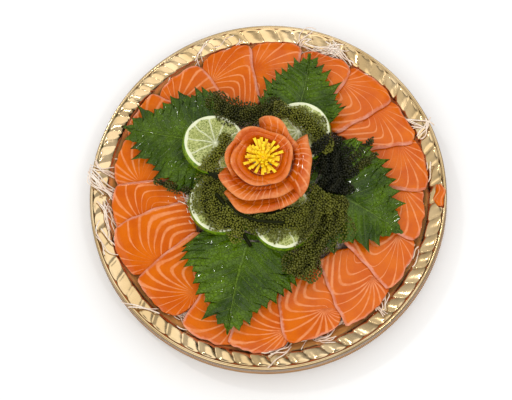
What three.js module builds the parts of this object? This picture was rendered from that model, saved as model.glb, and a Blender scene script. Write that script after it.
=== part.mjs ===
// A round party tray of salmon sashimi, in millimetres, +Z up.
// Origin: middle of the tray's flat underside. A golden fluted tray holds a bed of shredded radish.
// Eighteen salmon slices lie on the bed as an overlapping ring. Four shiso leaves, four lime slices and
// sprigs of sea grapes surround a rose rolled from salmon strips, with a small yellow flower in its heart.
import * as THREE from "three";

// ---- driving dimensions ----
const TRAY_RADIUS = 148; // to the outer edge of the beaded lip
const TRAY_HEIGHT = 26; // underside to the top of the rolled rim
const WALL = 1.2; // thickness of the formed plastic
const FLUTES = 60; // flutes round the rim
const SLICE_THICK = 3.5;
const SLICE_STEP = 4.1; // height that each slice is laid above the one before it
const SLICE_TOP = 22.7; // top face of a slice at its exposed edge and outer end
const RING_RISE = 3.8; // how much higher the ring's inner edge lies than its outer edge
const RING_INNER = 68;
const RING_OUTER = 129.6;
const END_LIFT = 1.6; // how far the outer ends of the slices ride up the tray's wall
const LEAF_THICK = 0.7;
const LEAF_GAP = 0.9; // a leaf's underside above the mean top of the salmon
const LIME_RADIUS = 26;
const LIME_THICK = 6;
const LIME_LEVEL = 29.4; // lowest point of a lime slice, just above the leaves
const ROSE_CENTRE = new THREE.Vector2(2.5, 17.5);
const ROSE_LEVEL = 36.6; // underside of the rose, on the lime slices
const PETAL_THICK = 2.4;

const degrees = THREE.MathUtils.degToRad;
const lerp = THREE.MathUtils.lerp;
const smooth = THREE.MathUtils.smoothstep;

// ---- materials ----
const plain = (color, roughness, metalness = 0) =>
  new THREE.MeshStandardMaterial({ color, roughness, metalness });
const gold = plain(0xb89a5a, 0.25, 0.9);
const radish = plain(0xeadfd2, 0.5);
const salmon = plain(0xd96a1e, 0.35);
const shiso = plain(0x2f6a17, 0.45);
const lime = plain(0xb9c56a, 0.4);
const seaGrape = plain(0x4c541c, 0.3);
const yolkYellow = plain(0xf3c807, 0.6);

const platter = new THREE.Group();

// Adds one named sub-part to the platter.
function addPart(name, geometry, material) {
  const mesh = new THREE.Mesh(geometry, material);
  mesh.name = name;
  platter.add(mesh);
}

// Moves every vertex of a geometry to where place(x, y, z) says.
function reshape(geometry, place) {
  const at = geometry.getAttribute("position");
  for (let i = 0; i < at.count; i++) {
    at.setXYZ(i, ...place(at.getX(i), at.getY(i), at.getZ(i)));
  }
  geometry.computeVertexNormals();
  return geometry;
}

// A solid of revolution about Z from a profile of [radius, height] pairs.
function turned(profile, segments) {
  const points = profile.map(([r, z]) => new THREE.Vector2(r, z));
  return new THREE.LatheGeometry(points, segments).rotateX(Math.PI / 2);
}

// Slow unevenness that handmade food has: one value for each place on the plate.
function unevenness(x, y) {
  return 0.3 * Math.sin(x / 13 + 1.1) * Math.cos(y / 17) + 0.22 * Math.sin((x - 1.7 * y) / 23);
}

// Mean height of the salmon ring's top at a place; it rises towards the middle of the plate.
function ringTop(x, y) {
  const r = Math.hypot(x, y);
  const share = THREE.MathUtils.clamp((RING_OUTER - r) / (RING_OUTER - RING_INNER), -0.2, 1);
  const lift = THREE.MathUtils.clamp((r - 123) / 7, 0, 1);
  return SLICE_TOP + RING_RISE * share + END_LIFT * lift * lift;
}

// ---- tray ----
// The section runs from the underside's middle, up outside, over the rim and back down inside.
const FLOOR_RADIUS = 117;
const CREASE = { r: 132.6, z: 19.6 }; // where the inner wall meets the fluted band
const BAND_TOP = { r: 142.4, z: 24.7 }; // outer end of the flutes
const ROLL_RADIUS = 144.1;
const LIP_HEIGHT = 11;
const LIP_BEAD = 1.6;
const FLUTE_DEPTH = 0.75;
const FLUTE_TWIST = degrees(1.4); // how far a flute leans round the rim on its way in

function buildTray() {
  const bandMid = [(CREASE.r + BAND_TOP.r) / 2, (CREASE.z + BAND_TOP.z) / 2];
  const profile = [
    [0, 0],
    [FLOOR_RADIUS, 0],
    [FLOOR_RADIUS + 5, 4],
    [CREASE.r + 0.6, CREASE.z - 2],
    [BAND_TOP.r - 0.3, BAND_TOP.z - 2.2],
    [TRAY_RADIUS - LIP_BEAD - WALL, LIP_HEIGHT],
    [TRAY_RADIUS, LIP_HEIGHT],
    [TRAY_RADIUS - LIP_BEAD, LIP_HEIGHT + LIP_BEAD],
    [ROLL_RADIUS + 1.3, TRAY_HEIGHT - 1.2],
    [ROLL_RADIUS, TRAY_HEIGHT],
    [BAND_TOP.r, BAND_TOP.z],
    bandMid,
    [CREASE.r, CREASE.z],
    [FLOOR_RADIUS + 4, 5],
    [FLOOR_RADIUS - 2, WALL],
    [0, WALL],
  ];
  return reshape(turned(profile, 2 * FLUTES), (x, y, z) => {
    const r = Math.hypot(x, y);
    const way = (BAND_TOP.r - r) / (BAND_TOP.r - CREASE.r);
    const onBand = z > lerp(BAND_TOP.z, CREASE.z, way) - 0.3;
    if (way < -0.01 || way > 1.01 || !onBand) return [x, y, z];
    const depth = FLUTE_DEPTH * (way < 0.1 ? 0.3 : way > 0.9 ? 0.5 : 1);
    const side = Math.cos(FLUTES * Math.atan2(y, x));
    const turn = FLUTE_TWIST * way;
    const [c, s] = [Math.cos(turn), Math.sin(turn)];
    return [x * c - y * s, x * s + y * c, z + depth * side];
  });
}
addPart("tray", buildTray(), gold);

// ---- radish bed ----
// A heap of fine radish strands: low under the salmon, a mound in the middle, and loose at the edge.
const BED_SEGMENTS = 34;
const MOUND_RADIUS = 56;
const MOUND_TOP = 25;
const BED_UNDER_SALMON = 11.2;

function buildBed() {
  const profile = [
    [0, WALL + 0.3],
    [FLOOR_RADIUS - 4, WALL + 0.3],
    [FLOOR_RADIUS + 2, 6],
    [FLOOR_RADIUS + 7, 12],
    [FLOOR_RADIUS + 3, 13.6],
    [104, 13.4],
    [MOUND_RADIUS + 17, BED_UNDER_SALMON],
    [MOUND_RADIUS + 4, BED_UNDER_SALMON + 1],
    [MOUND_RADIUS - 2, MOUND_TOP - 3],
    [MOUND_RADIUS - 12, MOUND_TOP - 0.6],
    [MOUND_RADIUS / 2, MOUND_TOP - 0.2],
    [0, MOUND_TOP],
  ];
  return reshape(turned(profile, BED_SEGMENTS), (x, y, z) => {
    if (z < 6.5) return [x, y, z];
    const a = Math.atan2(y, x);
    const ragged = 0.5 * Math.sin(11 * a) + 0.4 * Math.sin(17 * a + 1);
    const grow = 1 + (0.006 * ragged * (z - 6)) / 6;
    return [x * grow, y * grow, z + 0.45 * Math.sin(7 * a + z) - 0.35];
  });
}
addPart("radish_bed", buildBed(), radish);

// ---- salmon slices ----
// Each slice lies with one long edge on the slice before it. All follow one spiral ramp, so that every
// slice is SLICE_STEP above its neighbour, wherever their outlines reach.
const LAID_AT = [6, 24, 43, 63, 82, 103, 123, 143, 162, 179, 201, 225, 244, 265, 288, 308, 329, 348];
const SLICES = LAID_AT.length;
const SLICE_LENGTH = 60;
const SLICE_WIDE = 47; // across the outer half
const SLICE_NARROW = 37; // across the inner end
const RING_SHIFT = 1.8; // the ring lies this far off centre
const SHIFT_TOWARDS = degrees(40);

// How many slices lie before this direction, growing evenly from one exposed edge to the next.
function slicePhase(direction) {
  const turn = THREE.MathUtils.euclideanModulo(THREE.MathUtils.radToDeg(direction) - LAID_AT[0], 360);
  let k = 0;
  while (k < SLICES - 1 && turn >= LAID_AT[k + 1] - LAID_AT[0]) k++;
  const start = LAID_AT[k] - LAID_AT[0];
  const end = k < SLICES - 1 ? LAID_AT[k + 1] - LAID_AT[0] : 360;
  return k + (turn - start) / (end - start);
}

// The exposed edges swing off the radius, forwards on one side of the ring and backwards on the other.
const edgeSwing = (direction) => degrees(10 * Math.cos(direction - degrees(145)));

// Radius of the tray's sloping wall at a height, less a little clearance.
function wallRadius(z) {
  if (z > CREASE.z + 0.6) return Infinity;
  const foot = FLOOR_RADIUS + 4;
  return foot + ((z - 5) * (CREASE.r - foot)) / (CREASE.z - 5) - 1.2;
}

function buildSlice(k) {
  const direction = degrees(LAID_AT[k]);
  const along = direction + edgeSwing(direction);
  const lengthAxis = new THREE.Vector2(Math.cos(along), Math.sin(along));
  const widthAxis = new THREE.Vector2(-lengthAxis.y, lengthAxis.x);
  const reach = RING_OUTER + RING_SHIFT * Math.cos(direction - SHIFT_TOWARDS) + 1.6 * Math.sin(2.3 * k);
  const edgeMiddle = new THREE.Vector2(Math.cos(direction), Math.sin(direction));
  edgeMiddle.multiplyScalar(reach - SLICE_LENGTH / 2);
  const box = new THREE.BoxGeometry(1, 1, 1, 4, 4, 1);
  return reshape(box, (v, u, w) => {
    const wide = lerp(SLICE_NARROW, SLICE_WIDE, smooth(v, -0.5, 0.1));
    const bow = 2.2 * Math.cos(Math.PI * v) * Math.cos(1.7 * k);
    const across = (u + 0.5) * wide * (1 - 0.1 * Math.pow(2 * v, 4)) + bow * (0.5 - u);
    const p = edgeMiddle.clone().addScaledVector(widthAxis, across + 1.3 * Math.pow(2 * v, 4));
    // The outer end follows the tray's round wall; the inner end is cut nearly straight.
    const inwards = p.dot(lengthAxis);
    const toWall = Math.sqrt(inwards * inwards - p.lengthSq() + reach * reach) - inwards;
    const half = v > 0 ? toWall : SLICE_LENGTH / 2;
    p.addScaledVector(lengthAxis, 2 * v * half * (1 - 0.13 * Math.pow(2 * u, 4)));
    let ahead = slicePhase(Math.atan2(p.y, p.x)) - k;
    ahead -= SLICES * Math.round(ahead / SLICES);
    const edgeward = Math.max(Math.abs(2 * u), Math.abs(2 * v));
    const crown = 0.5 * Math.pow(edgeward, 6) * (w > 0 ? 1 : 0);
    const base = ringTop(p.x, p.y) - SLICE_THICK + unevenness(p.x, p.y) - SLICE_STEP * ahead;
    const within = Math.min(1, wallRadius(base) / p.length());
    return [p.x * within, p.y * within, base + (w + 0.5) * SLICE_THICK - crown];
  });
}
for (let k = 0; k < SLICES; k++) {
  addPart(`salmon_slice_${String(k + 1).padStart(2, "0")}`, buildSlice(k), salmon);
}

// ---- salmon offcut ----
// A small trimming that lies on the rim's flutes beside the ring.
const OFFCUT = { r: 139.3, long: 17, wide: 7.5, thick: 2.2 };

function buildOffcut() {
  const direction = degrees(-15.5);
  const box = new THREE.BoxGeometry(1, 1, 1, 2, 3, 1);
  return reshape(box, (v, u, w) => {
    const r = OFFCUT.r + v * OFFCUT.wide * (1 - 2 * u * u);
    const a = direction + (u * OFFCUT.long) / OFFCUT.r;
    const bandHeight = lerp(CREASE.z, BAND_TOP.z, (r - CREASE.r) / (BAND_TOP.r - CREASE.r));
    return [r * Math.cos(a), r * Math.sin(a), bandHeight + FLUTE_DEPTH + (w + 0.9) * OFFCUT.thick];
  });
}
addPart("salmon_offcut", buildOffcut(), salmon);

// ---- shiso leaves ----
// Broad leaves with saw teeth, laid points outwards on the salmon, folded a little along the midrib.
const LEAF_TEETH = 8; // on each side
const TOOTH = 5.5;
const LEAVES = [
  { name: "shiso_leaf_left", at: [-21, 39], points: 155, length: 93, width: 92 },
  { name: "shiso_leaf_back", at: [29, 41], points: 64, length: 74, width: 68 },
  { name: "shiso_leaf_right", at: [31, 3], points: -43, length: 93, width: 98 },
  { name: "shiso_leaf_front", at: [-16, -30], points: 244.5, length: 88, width: 92 },
];

// Half the blade's width at a share v of its length, from its stalk to its point.
function bladeHalfWidth(v) {
  return Math.pow(Math.sin(Math.PI * Math.pow(v, 0.68)), 0.85) * (1 - 0.18 * v);
}

function buildLeaf({ at, points, length, width }) {
  const rows = 2 * LEAF_TEETH + 1;
  const box = new THREE.BoxGeometry(2, 1, 1, 2, rows, 1);
  const [c, s] = [Math.cos(degrees(points)), Math.sin(degrees(points))];
  return reshape(box, (u, v, w) => {
    const row = Math.round((v + 0.5) * rows);
    const share = lerp(0.02, 1, row / rows);
    const tip = row % 2 === 1 && row < rows ? 1 : 0;
    const half = Math.max(1.1, (width / 2) * bladeHalfWidth(Math.min(share, 0.992)) - TOOTH / 2);
    const x = u * (half + TOOTH * tip);
    const y = length * share + Math.abs(u) * (TOOTH * 1.1 * tip - 0.05 * width * Math.sin(Math.PI * share));
    const px = at[0] + y * c + x * s;
    const py = at[1] + y * s - x * c;
    const fold = 0.9 * Math.abs(u) * Math.sin(Math.PI * share);
    return [px, py, ringTop(px, py) + LEAF_GAP + fold + (w + 0.5) * LEAF_THICK];
  });
}
for (const leaf of LEAVES) addPart(leaf.name, buildLeaf(leaf), shiso);

// ---- lime slices ----
// Round slices, a little wider below than above, each tipped towards the rose.
const LIMES = [
  { name: "lime_slice_left", at: [-38, 45], tip: 11, from: 200 },
  { name: "lime_slice_back", at: [36, 38], tip: 2, from: 45 },
  { name: "lime_slice_low", at: [-37.5, -6], tip: 2, from: 215 },
  { name: "lime_slice_front", at: [9, -30], tip: 2, from: 280 },
];

function buildLime({ at, tip, from }) {
  const disc = new THREE.CylinderGeometry(LIME_RADIUS - 0.9, LIME_RADIUS, LIME_THICK, 30);
  const axis = new THREE.Vector3(-Math.sin(degrees(from)), Math.cos(degrees(from)), 0);
  const height = LIME_LEVEL + LIME_THICK / 2 + LIME_RADIUS * Math.sin(degrees(tip));
  disc.rotateX(Math.PI / 2);
  disc.applyMatrix4(new THREE.Matrix4().makeRotationAxis(axis, -degrees(tip)));
  return disc.translate(at[0], at[1], height);
}
for (const slice of LIMES) addPart(slice.name, buildLime(slice), lime);

// ---- salmon rose ----
// Strips of salmon stand on edge round each other. Each strip starts at one radius and drifts by wind, so
// that its end wraps the next one's start; its lip leans out over its foot.
const PETALS = [
  { name: "heart_petal_1", from: 200, span: 215, foot: 7.2, lip: 14.4, rise: 19.4, wind: 4 },
  { name: "heart_petal_2", from: 20, span: 215, foot: 7.2, lip: 14.4, rise: 19.4, wind: 4 },
  { name: "middle_petal_1", from: 110, span: 148, foot: 14.4, lip: 23.4, rise: 22, wind: 4.6 },
  { name: "middle_petal_2", from: 230, span: 148, foot: 14.4, lip: 23.4, rise: 22, wind: 4.6 },
  { name: "middle_petal_3", from: 350, span: 148, foot: 14.4, lip: 23.4, rise: 22, wind: 4.6 },
  { name: "outer_petal_1", from: 78, span: 126, foot: 21.3, lip: 30.9, rise: 17, wind: 0.8 },
  { name: "outer_petal_2", from: 176, span: 134, foot: 26.2, lip: 36.8, rise: 12.4, wind: -4 },
  { name: "outer_petal_3", from: 302, span: 74, foot: 25.8, lip: 40.6, rise: 12, wind: 0.8 },
  { name: "outer_petal_4", from: 0, span: 82, foot: 21, lip: 32.6, rise: 17, wind: 3.2 },
  { name: "skirt_petal_1", from: 205, span: 76, foot: 31, lip: 42, rise: 6, wind: 0.5 },
  { name: "skirt_petal_2", from: 284, span: 44, foot: 31, lip: 41, rise: 5, wind: 0 },
];

function buildPetal({ from, span, foot, lip, rise, wind }) {
  const box = new THREE.BoxGeometry(1, 1, 1, 7, 3, 1);
  return reshape(box, (u, v, w) => {
    const round = u + 0.5;
    const up = v + 0.5;
    const a = degrees(from + span * round);
    const endTrim = 1 - 0.15 * Math.pow(2 * Math.abs(u), 5);
    const thin = PETAL_THICK * (1 - 0.2 * up);
    const r = lerp(foot, lip, Math.pow(up, 1.3)) + wind * round + w * thin;
    const z = ROSE_LEVEL + rise * up * endTrim;
    return [ROSE_CENTRE.x + r * Math.cos(a), ROSE_CENTRE.y + r * Math.sin(a), z];
  });
}
for (const petal of PETALS) addPart(`rose_${petal.name}`, buildPetal(petal), salmon);

// ---- flower ----
// A small yellow chrysanthemum in the rose's heart: a cup of narrow petals round a domed middle.
const FLOWER_RADIUS = 14.3;
const FLOWER_PETALS = 14;
const FLOWER_TOP = 63.6;

function buildFlower() {
  const profile = [
    [0, FLOWER_TOP - 17],
    [3.5, FLOWER_TOP - 16],
    [6, FLOWER_TOP - 9],
    [FLOWER_RADIUS - 1, FLOWER_TOP - 5.2],
    [FLOWER_RADIUS, FLOWER_TOP - 4],
    [FLOWER_RADIUS * 0.6, FLOWER_TOP - 2.6],
    [4, FLOWER_TOP - 0.3],
    [0, FLOWER_TOP],
  ];
  return reshape(turned(profile, 2 * FLOWER_PETALS), (x, y, z) => {
    const r = Math.hypot(x, y);
    const notch = r > 8 ? 0.84 + 0.16 * Math.cos(FLOWER_PETALS * Math.atan2(y, x)) : 1;
    return [ROSE_CENTRE.x + x * notch, ROSE_CENTRE.y + y * notch, z];
  });
}
addPart("flower", buildFlower(), yolkYellow);

// ---- sea grapes ----
// Sprigs of tiny green beads on soft runners, draped on the leaves and limes. Each solid is a sprig's
// outer shape: a flattened, uneven roll along its runner.
// Heights of a sprig's underside above the mean top of the salmon.
const ON_LEAF = 2.8;
const ON_LIME = 11.2;
const ON_TIPPED_LIME = 14.4;
const SPRIGS = [
  { name: "back", wide: 8.5, tall: 6, low: ON_LEAF, path: [[-26, 90], [-14, 76], [2, 70], [12, 72]] },
  { name: "back_right", wide: 7, tall: 5, low: ON_LIME, path: [[27, 67], [43, 55], [51, 38], [51, 22]] },
  { name: "right", wide: 11, tall: 9, low: ON_LEAF, path: [[64, 10], [63, -4], [58, -16]] },
  { name: "right_upper", wide: 4, tall: 5, low: ON_LEAF, path: [[78, 12], [87, 16], [94, 20]] },
  { name: "right_lower", wide: 4, tall: 5, low: ON_LEAF, path: [[78, -2], [88, 3], [95, 8]] },
  { name: "front_right", wide: 11, tall: 8, low: ON_LEAF, path: [[48, -40], [36, -57], [19, -67], [9, -78]] },
  { name: "front", wide: 6.5, tall: 5, low: ON_LIME, path: [[26, -39], [6, -41], [-10, -36]] },
  { name: "left", wide: 7, tall: 5, low: ON_LIME, path: [[-27, -27], [-44, -17], [-50, -2], [-46, 10]] },
  { name: "left_upper", wide: 5, tall: 4, low: ON_TIPPED_LIME, path: [[-34, 32], [-30, 42], [-24, 52]] },
  { name: "far_left", wide: 4, tall: 5, low: ON_LEAF, path: [[-62, 12], [-74, 18], [-88, 26]] },
];

function buildSprig({ wide, tall, path, low }) {
  const runner = new THREE.CatmullRomCurve3(path.map(([x, y]) => new THREE.Vector3(x, y, 0)));
  const length = runner.getLength();
  const roll = new THREE.CapsuleGeometry(1, 1, 2, 7, 5);
  return reshape(roll, (x, y, z) => {
    const cap = Math.sign(y) * Math.max(0, Math.abs(y) - 0.5); // -1 to 1 past either end
    const share = THREE.MathUtils.clamp(y + 0.5, 0, 1);
    const at = runner.getPointAt(share);
    const ahead = runner.getTangentAt(share);
    const lumpy = 1 + 0.1 * Math.sin((share * length) / 3.1 + 4 * z) + 0.06 * Math.sin(9 * share + 5 * x);
    const side = (-x * wide * lumpy) / 1.1;
    const on = cap * wide * 0.8;
    return [
      at.x + ahead.x * on - ahead.y * side,
      at.y + ahead.y * on + ahead.x * side,
      ringTop(at.x, at.y) + low + (tall / 2) * (1 + z * (lumpy / 1.1)),
    ];
  });
}
for (const sprig of SPRIGS) addPart(`sea_grapes_${sprig.name}`, buildSprig(sprig), seaGrape);

export default platter;
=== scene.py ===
import math
import random

import bmesh
import bpy
import numpy as np
from mathutils import Matrix, Vector


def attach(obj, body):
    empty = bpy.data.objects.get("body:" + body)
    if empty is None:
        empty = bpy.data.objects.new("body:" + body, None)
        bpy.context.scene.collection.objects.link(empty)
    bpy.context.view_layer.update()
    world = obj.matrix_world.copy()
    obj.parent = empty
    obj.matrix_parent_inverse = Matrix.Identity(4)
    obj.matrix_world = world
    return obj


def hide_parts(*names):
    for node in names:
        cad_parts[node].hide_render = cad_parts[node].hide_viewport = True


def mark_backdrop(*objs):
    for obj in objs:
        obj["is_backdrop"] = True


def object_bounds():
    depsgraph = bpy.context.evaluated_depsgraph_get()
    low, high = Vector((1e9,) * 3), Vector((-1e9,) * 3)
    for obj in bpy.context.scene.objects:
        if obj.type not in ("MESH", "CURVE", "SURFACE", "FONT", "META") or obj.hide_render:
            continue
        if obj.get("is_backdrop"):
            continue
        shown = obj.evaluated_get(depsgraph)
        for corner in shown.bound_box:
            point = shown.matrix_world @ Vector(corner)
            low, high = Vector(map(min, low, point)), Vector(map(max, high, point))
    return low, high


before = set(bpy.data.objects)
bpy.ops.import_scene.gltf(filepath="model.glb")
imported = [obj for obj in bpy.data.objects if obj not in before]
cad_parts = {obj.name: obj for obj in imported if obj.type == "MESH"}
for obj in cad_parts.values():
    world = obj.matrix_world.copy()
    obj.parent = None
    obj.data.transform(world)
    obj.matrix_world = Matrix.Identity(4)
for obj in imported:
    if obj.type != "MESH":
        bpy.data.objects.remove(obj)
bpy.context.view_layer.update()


# Tray: one sheet of champagne-gold metallised plastic, hot formed. A flat floor, a sloping wall, a band of
# leaning gadroons, a rolled rim, and a skirt that ends in a finely pinked hem.
MM = 0.001
GADROONS, GADROON_SWELL = 60, 1.6
FIRST_GADROON, GADROON_LEAN = math.radians(3.6), math.radians(2.4)
CREASE_RADIUS, BAND_RADIUS = 132.6, 142.4
MID_SHEET = 18.1  # between the sheet's two faces at the crease
HEM_TEETH, TOOTH_DEPTH = 620, 0.28
HEM_RADIUS, HEM_TOP = 146.7, 12.8
WALL_TOP = (0.1305, 0.1325)  # in metres, where the wall's painted orange reflection of the salmon and painted light turn to the band's mirror gold
SKIRT_FROM = (0.1446, 0.1456)
TRAY_SECTION = [
    (0, 0), (60, 0), (112, 0), (116.5, 0.2), (119.5, 1.5), (122, 4), (128, 11), (132.2, 16.2), (137, 19.4),
    (142.0, 22.0), (143.7, 22.2), (144.6, 18), (145.4, 12.6), (145.5, 11.2), (146.8, 10.8), (147.7, 11.2),
    (147.8, 12.4), (147.1, 13.0), (146.5, 16), (146.1, 19.5), (145.9, 23.0), (145.7, 24.6), (145.3, 25.4),
    (144.7, 25.9), (144.1, 26.0), (143.4, 25.8), (142.9, 25.3), (142.4, 24.6), (141.9, 24.3), (141.3, 24.1),
    (140.6, 23.8), (139.8, 23.4), (138.9, 23.0), (137.9, 22.5), (136.9, 22.0), (135.9, 21.5), (134.9, 21.0),
    (134.0, 20.5), (133.2, 20.0), (132.6, 19.4), (132.1, 18.8), (131.4, 17.9), (130.4, 16.7), (128, 13.8),
    (124.5, 9.6), (121.5, 6), (118.5, 2.8), (115, 1.5), (111, 1.2), (60, 1.2), (0, 1.2),
]


def paint(red, green, blue):
    """A colour as a swatch shows it, as the shader's linear values."""
    def linear(c):
        c /= 255
        return c / 12.92 if c <= 0.04045 else ((c + 0.055) / 1.055) ** 2.4
    return linear(red), linear(green), linear(blue), 1.0


def add(tree, kind, inputs=(), **settings):
    """A shader node with its settings, its plain values and its links."""
    made = tree.nodes.new("ShaderNode" + kind)
    for key, value in settings.items():
        setattr(made, key, value)
    for socket, value in dict(inputs).items():
        if isinstance(value, bpy.types.NodeSocket):
            tree.links.new(value, made.inputs[socket])
        else:
            made.inputs[socket].default_value = value
    return made


def calc(tree, operation, *values):
    return add(tree, "Math", dict(enumerate(values)), operation=operation).outputs[0]


def plus(tree, first, second):
    return calc(tree, "ADD", first, second)


def times(tree, first, second):
    return calc(tree, "MULTIPLY", first, second)


def distance(tree, x, y):
    return calc(tree, "SQRT", plus(tree, times(tree, x, x), times(tree, y, y)))


def fade(tree, value, start, end, first=0.0, last=1.0):
    """first below start, last above end, and smooth between."""
    return add(tree, "MapRange", {"Value": value, "From Min": start, "From Max": end, "To Min": first,
                                  "To Max": last}, interpolation_type="SMOOTHSTEP").outputs["Result"]


def mix(tree, share, first, second):
    return add(tree, "Mix", {0: share, 6: first, 7: second}, data_type="RGBA").outputs[2]


def place_of(tree):
    return add(tree, "TexCoord").outputs["Object"]


def clouds(tree, scale, detail=2.0, rough=0.5, where=None):
    return add(tree, "TexNoise", {"Vector": where or place_of(tree), "Scale": scale, "Detail": detail,
                                  "Roughness": rough}).outputs["Fac"]


def relief(tree, height, depth, strength=1.0):
    return add(tree, "Bump", {"Height": height, "Distance": depth, "Strength": strength}).outputs["Normal"]


def new_finish(name, colour, roughness, metallic=0.0, **constants):
    """A material, its node tree and its shader, with the values that are the same all over."""
    material = bpy.data.materials.new(name)
    material.use_nodes = True
    shader = material.node_tree.nodes["Principled BSDF"]
    shader.inputs["Base Color"].default_value = colour
    shader.inputs["Roughness"].default_value = roughness
    shader.inputs["Metallic"].default_value = metallic
    for key, value in constants.items():
        shader.inputs[key.replace("_", " ")].default_value = value
    return material, material.node_tree, shader


def points_of(mesh):
    flat = np.empty(len(mesh.vertices) * 3)
    mesh.vertices.foreach_get("co", flat)
    return flat.reshape(-1, 3)


def finish_piece(name, mesh, points_mm, material, nodes, values=None):
    """Sets a piece's points, given in millimetres, and puts it in the scene in place of its solids."""
    mesh.vertices.foreach_set("co", (np.asarray(points_mm) * MM).ravel())
    mesh.update()
    for key, numbers in (values or {}).items():
        layer = mesh.attributes.new(key, "FLOAT", "POINT")
        layer.data.foreach_set("value", np.asarray(numbers, dtype=np.float32).ravel())
    mesh.shade_smooth()
    piece = bpy.data.objects.new(name, mesh)
    bpy.context.scene.collection.objects.link(piece)
    mesh.materials.append(material)
    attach(piece, "root")
    if nodes:
        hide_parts(*nodes)


def mesh_from(bm, name):
    mesh = bpy.data.meshes.new(name)
    bmesh.ops.recalc_face_normals(bm, faces=bm.faces)
    bm.to_mesh(mesh)
    bm.free()
    return mesh


def turned(name, section, steps, cuts=0):
    """A section of radii and heights turned once round the upright axis."""
    bm = bmesh.new()
    corners = [bm.verts.new((r, 0, z)) for r, z in section]
    edges = [bm.edges.new(pair) for pair in zip(corners, corners[1:])]
    if cuts:
        bmesh.ops.subdivide_edges(bm, edges=edges, cuts=cuts)
    bmesh.ops.spin(bm, geom=list(bm.verts) + list(bm.edges), axis=(0, 0, 1), angle=2 * math.pi, steps=steps,
                   use_merge=True)
    bmesh.ops.remove_doubles(bm, verts=bm.verts, dist=0.0001)
    return mesh_from(bm, name)


def shape_tray(p):
    radius = np.hypot(p[:, 0], p[:, 1])
    turn = np.arctan2(p[:, 1], p[:, 0])
    way = np.clip((BAND_RADIUS - radius) / (BAND_RADIUS - CREASE_RADIUS), 0, 1)
    floor_line = np.where(radius > CREASE_RADIUS, 0.5, 1.25) * (radius - CREASE_RADIUS) + MID_SHEET
    band = (radius > CREASE_RADIUS - 4) & (radius < BAND_RADIUS) & (p[:, 2] > floor_line)
    share = np.mod((turn + FIRST_GADROON + GADROON_LEAN * way) * GADROONS / (2 * math.pi), 1.0)
    pillow = 1 - np.abs(2 * share - 1) ** 2.2
    outer_end = 1 - np.clip(1 - way / 0.25, 0, 1) ** 2
    inner_end = np.clip(1 - (CREASE_RADIUS - radius) / 4, 0, 1) * (1 - 0.45 * np.clip(way * 3 - 2, 0, 1))
    dents = 1 + 0.22 * np.sin(3 * turn + 1) + 0.16 * np.sin(17 * turn)
    p[:, 2] += np.where(band, GADROON_SWELL * outer_end * inner_end * (dents * pillow - 0.65), 0)
    scallop = np.where(band, (pillow - 0.6) * np.clip((way - 0.5) / 0.5, 0, 1) * inner_end, 0)
    hem = (radius > HEM_RADIUS) & (p[:, 2] < HEM_TOP)
    tooth = np.where(hem, TOOTH_DEPTH * np.where(np.round(turn * HEM_TEETH / math.pi) % 2 > 0, 1, -1), 0)
    grow = (radius - scallop + tooth) / np.maximum(radius, 1e-6)
    p[:, 0] *= grow
    p[:, 1] *= grow
    return p


gold, tree, shader = new_finish("champagne gold plastic", paint(222, 192, 140), 0.17, 1.0)
tarnish = clouds(tree, 28, 3)
spot = add(tree, "SeparateXYZ", {0: place_of(tree)}).outputs
from_middle = distance(tree, spot["X"], spot["Y"])
upper = mix(tree, fade(tree, tarnish, 0.35, 0.7), paint(196, 168, 122), paint(216, 191, 150))
# Inside the wall top, the floor and wall get a warm bright orange: a painted reflection of the salmon and
# painted light against the wall's shade.
upper = mix(tree, fade(tree, from_middle, *WALL_TOP), paint(236, 176, 100), upper)
# Outside the rim the gold is painted darker: painted shade on the skirt, and a darker painted reflection on
# the outer face of the roll above it.
outside = mix(tree, fade(tree, spot["Z"], 0.016, 0.021), paint(176, 130, 78), paint(122, 94, 56))
tree.links.new(mix(tree, fade(tree, from_middle, *SKIRT_FROM), upper, outside), shader.inputs["Base Color"])
tree.links.new(fade(tree, from_middle, *WALL_TOP, 0.45, 1.0), shader.inputs["Metallic"])
tree.links.new(fade(tree, clouds(tree, 240, 2), 0.3, 0.7, 0.14, 0.2), shader.inputs["Roughness"])
tree.links.new(relief(tree, clouds(tree, 60, 1), 0.0006, 0.25), shader.inputs["Normal"])

tray = turned("tray", TRAY_SECTION, HEM_TEETH * 2)
finish_piece("tray_body", tray, shape_tray(points_of(tray)), gold, ["tray"])


# Radish bed: a heap of long fine strands of raw white radish, spun on a slicer. The salmon lies on it,
# and loose strands stick out all round and lie over the gold rim.
STRAND_SIDES, STRAND_RINGS = 5, 16
STRANDS_UNDER = 240  # strands that lie along the bed, under and beside the salmon
OUTERMOST = 147.6  # no strand reaches further out over the rim
# bundles of loose strands: where in degrees, radius, slant from the rim's own direction, spread in
# millimetres, height, strands, length
BUNDLES = [
    (57, 130, 14, 2.6, 3.0, 18, 36), (49, 133, -20, 2.2, 2.4, 9, 26), (66, 134, 60, 2.0, 1.4, 5, 22),
    (12, 134, 40, 2.4, 1.2, 6, 22), (8, 138, -62, 1.6, 0.6, 3, 18), (166, 136, 58, 2.6, 1.8, 11, 32),
    (161, 140, 78, 2.0, 1.0, 5, 24), (177, 132, 8, 2.6, 1.2, 9, 26), (186, 137, 30, 2.2, 0.8, 3, 26),
    (303, 129, 30, 2.4, 1.6, 8, 14), (300, 130, 96, 1.6, 1.6, 5, 12), (262, 129, 18, 3.0, 1.2, 8, 22),
    (278, 129, -16, 2.6, 1.0, 7, 18), (231, 128, 10, 1.6, 0.8, 4, 22), (92, 131, 10, 3.4, 1.2, 8, 24),
    (104, 133, 40, 1.6, 0.8, 3, 18), (352, 132, -20, 1.6, 0.8, 3, 18), (212, 138, 40, 1.4, 0.5, 2, 26),
    (322, 131, 12, 1.8, 0.8, 4, 18), (181, 63, 18, 6.0, 9.5, 44, 24), (176, 68, 70, 5.0, 10.5, 20, 20),
]
BED_RADIUS = 123.0
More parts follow.
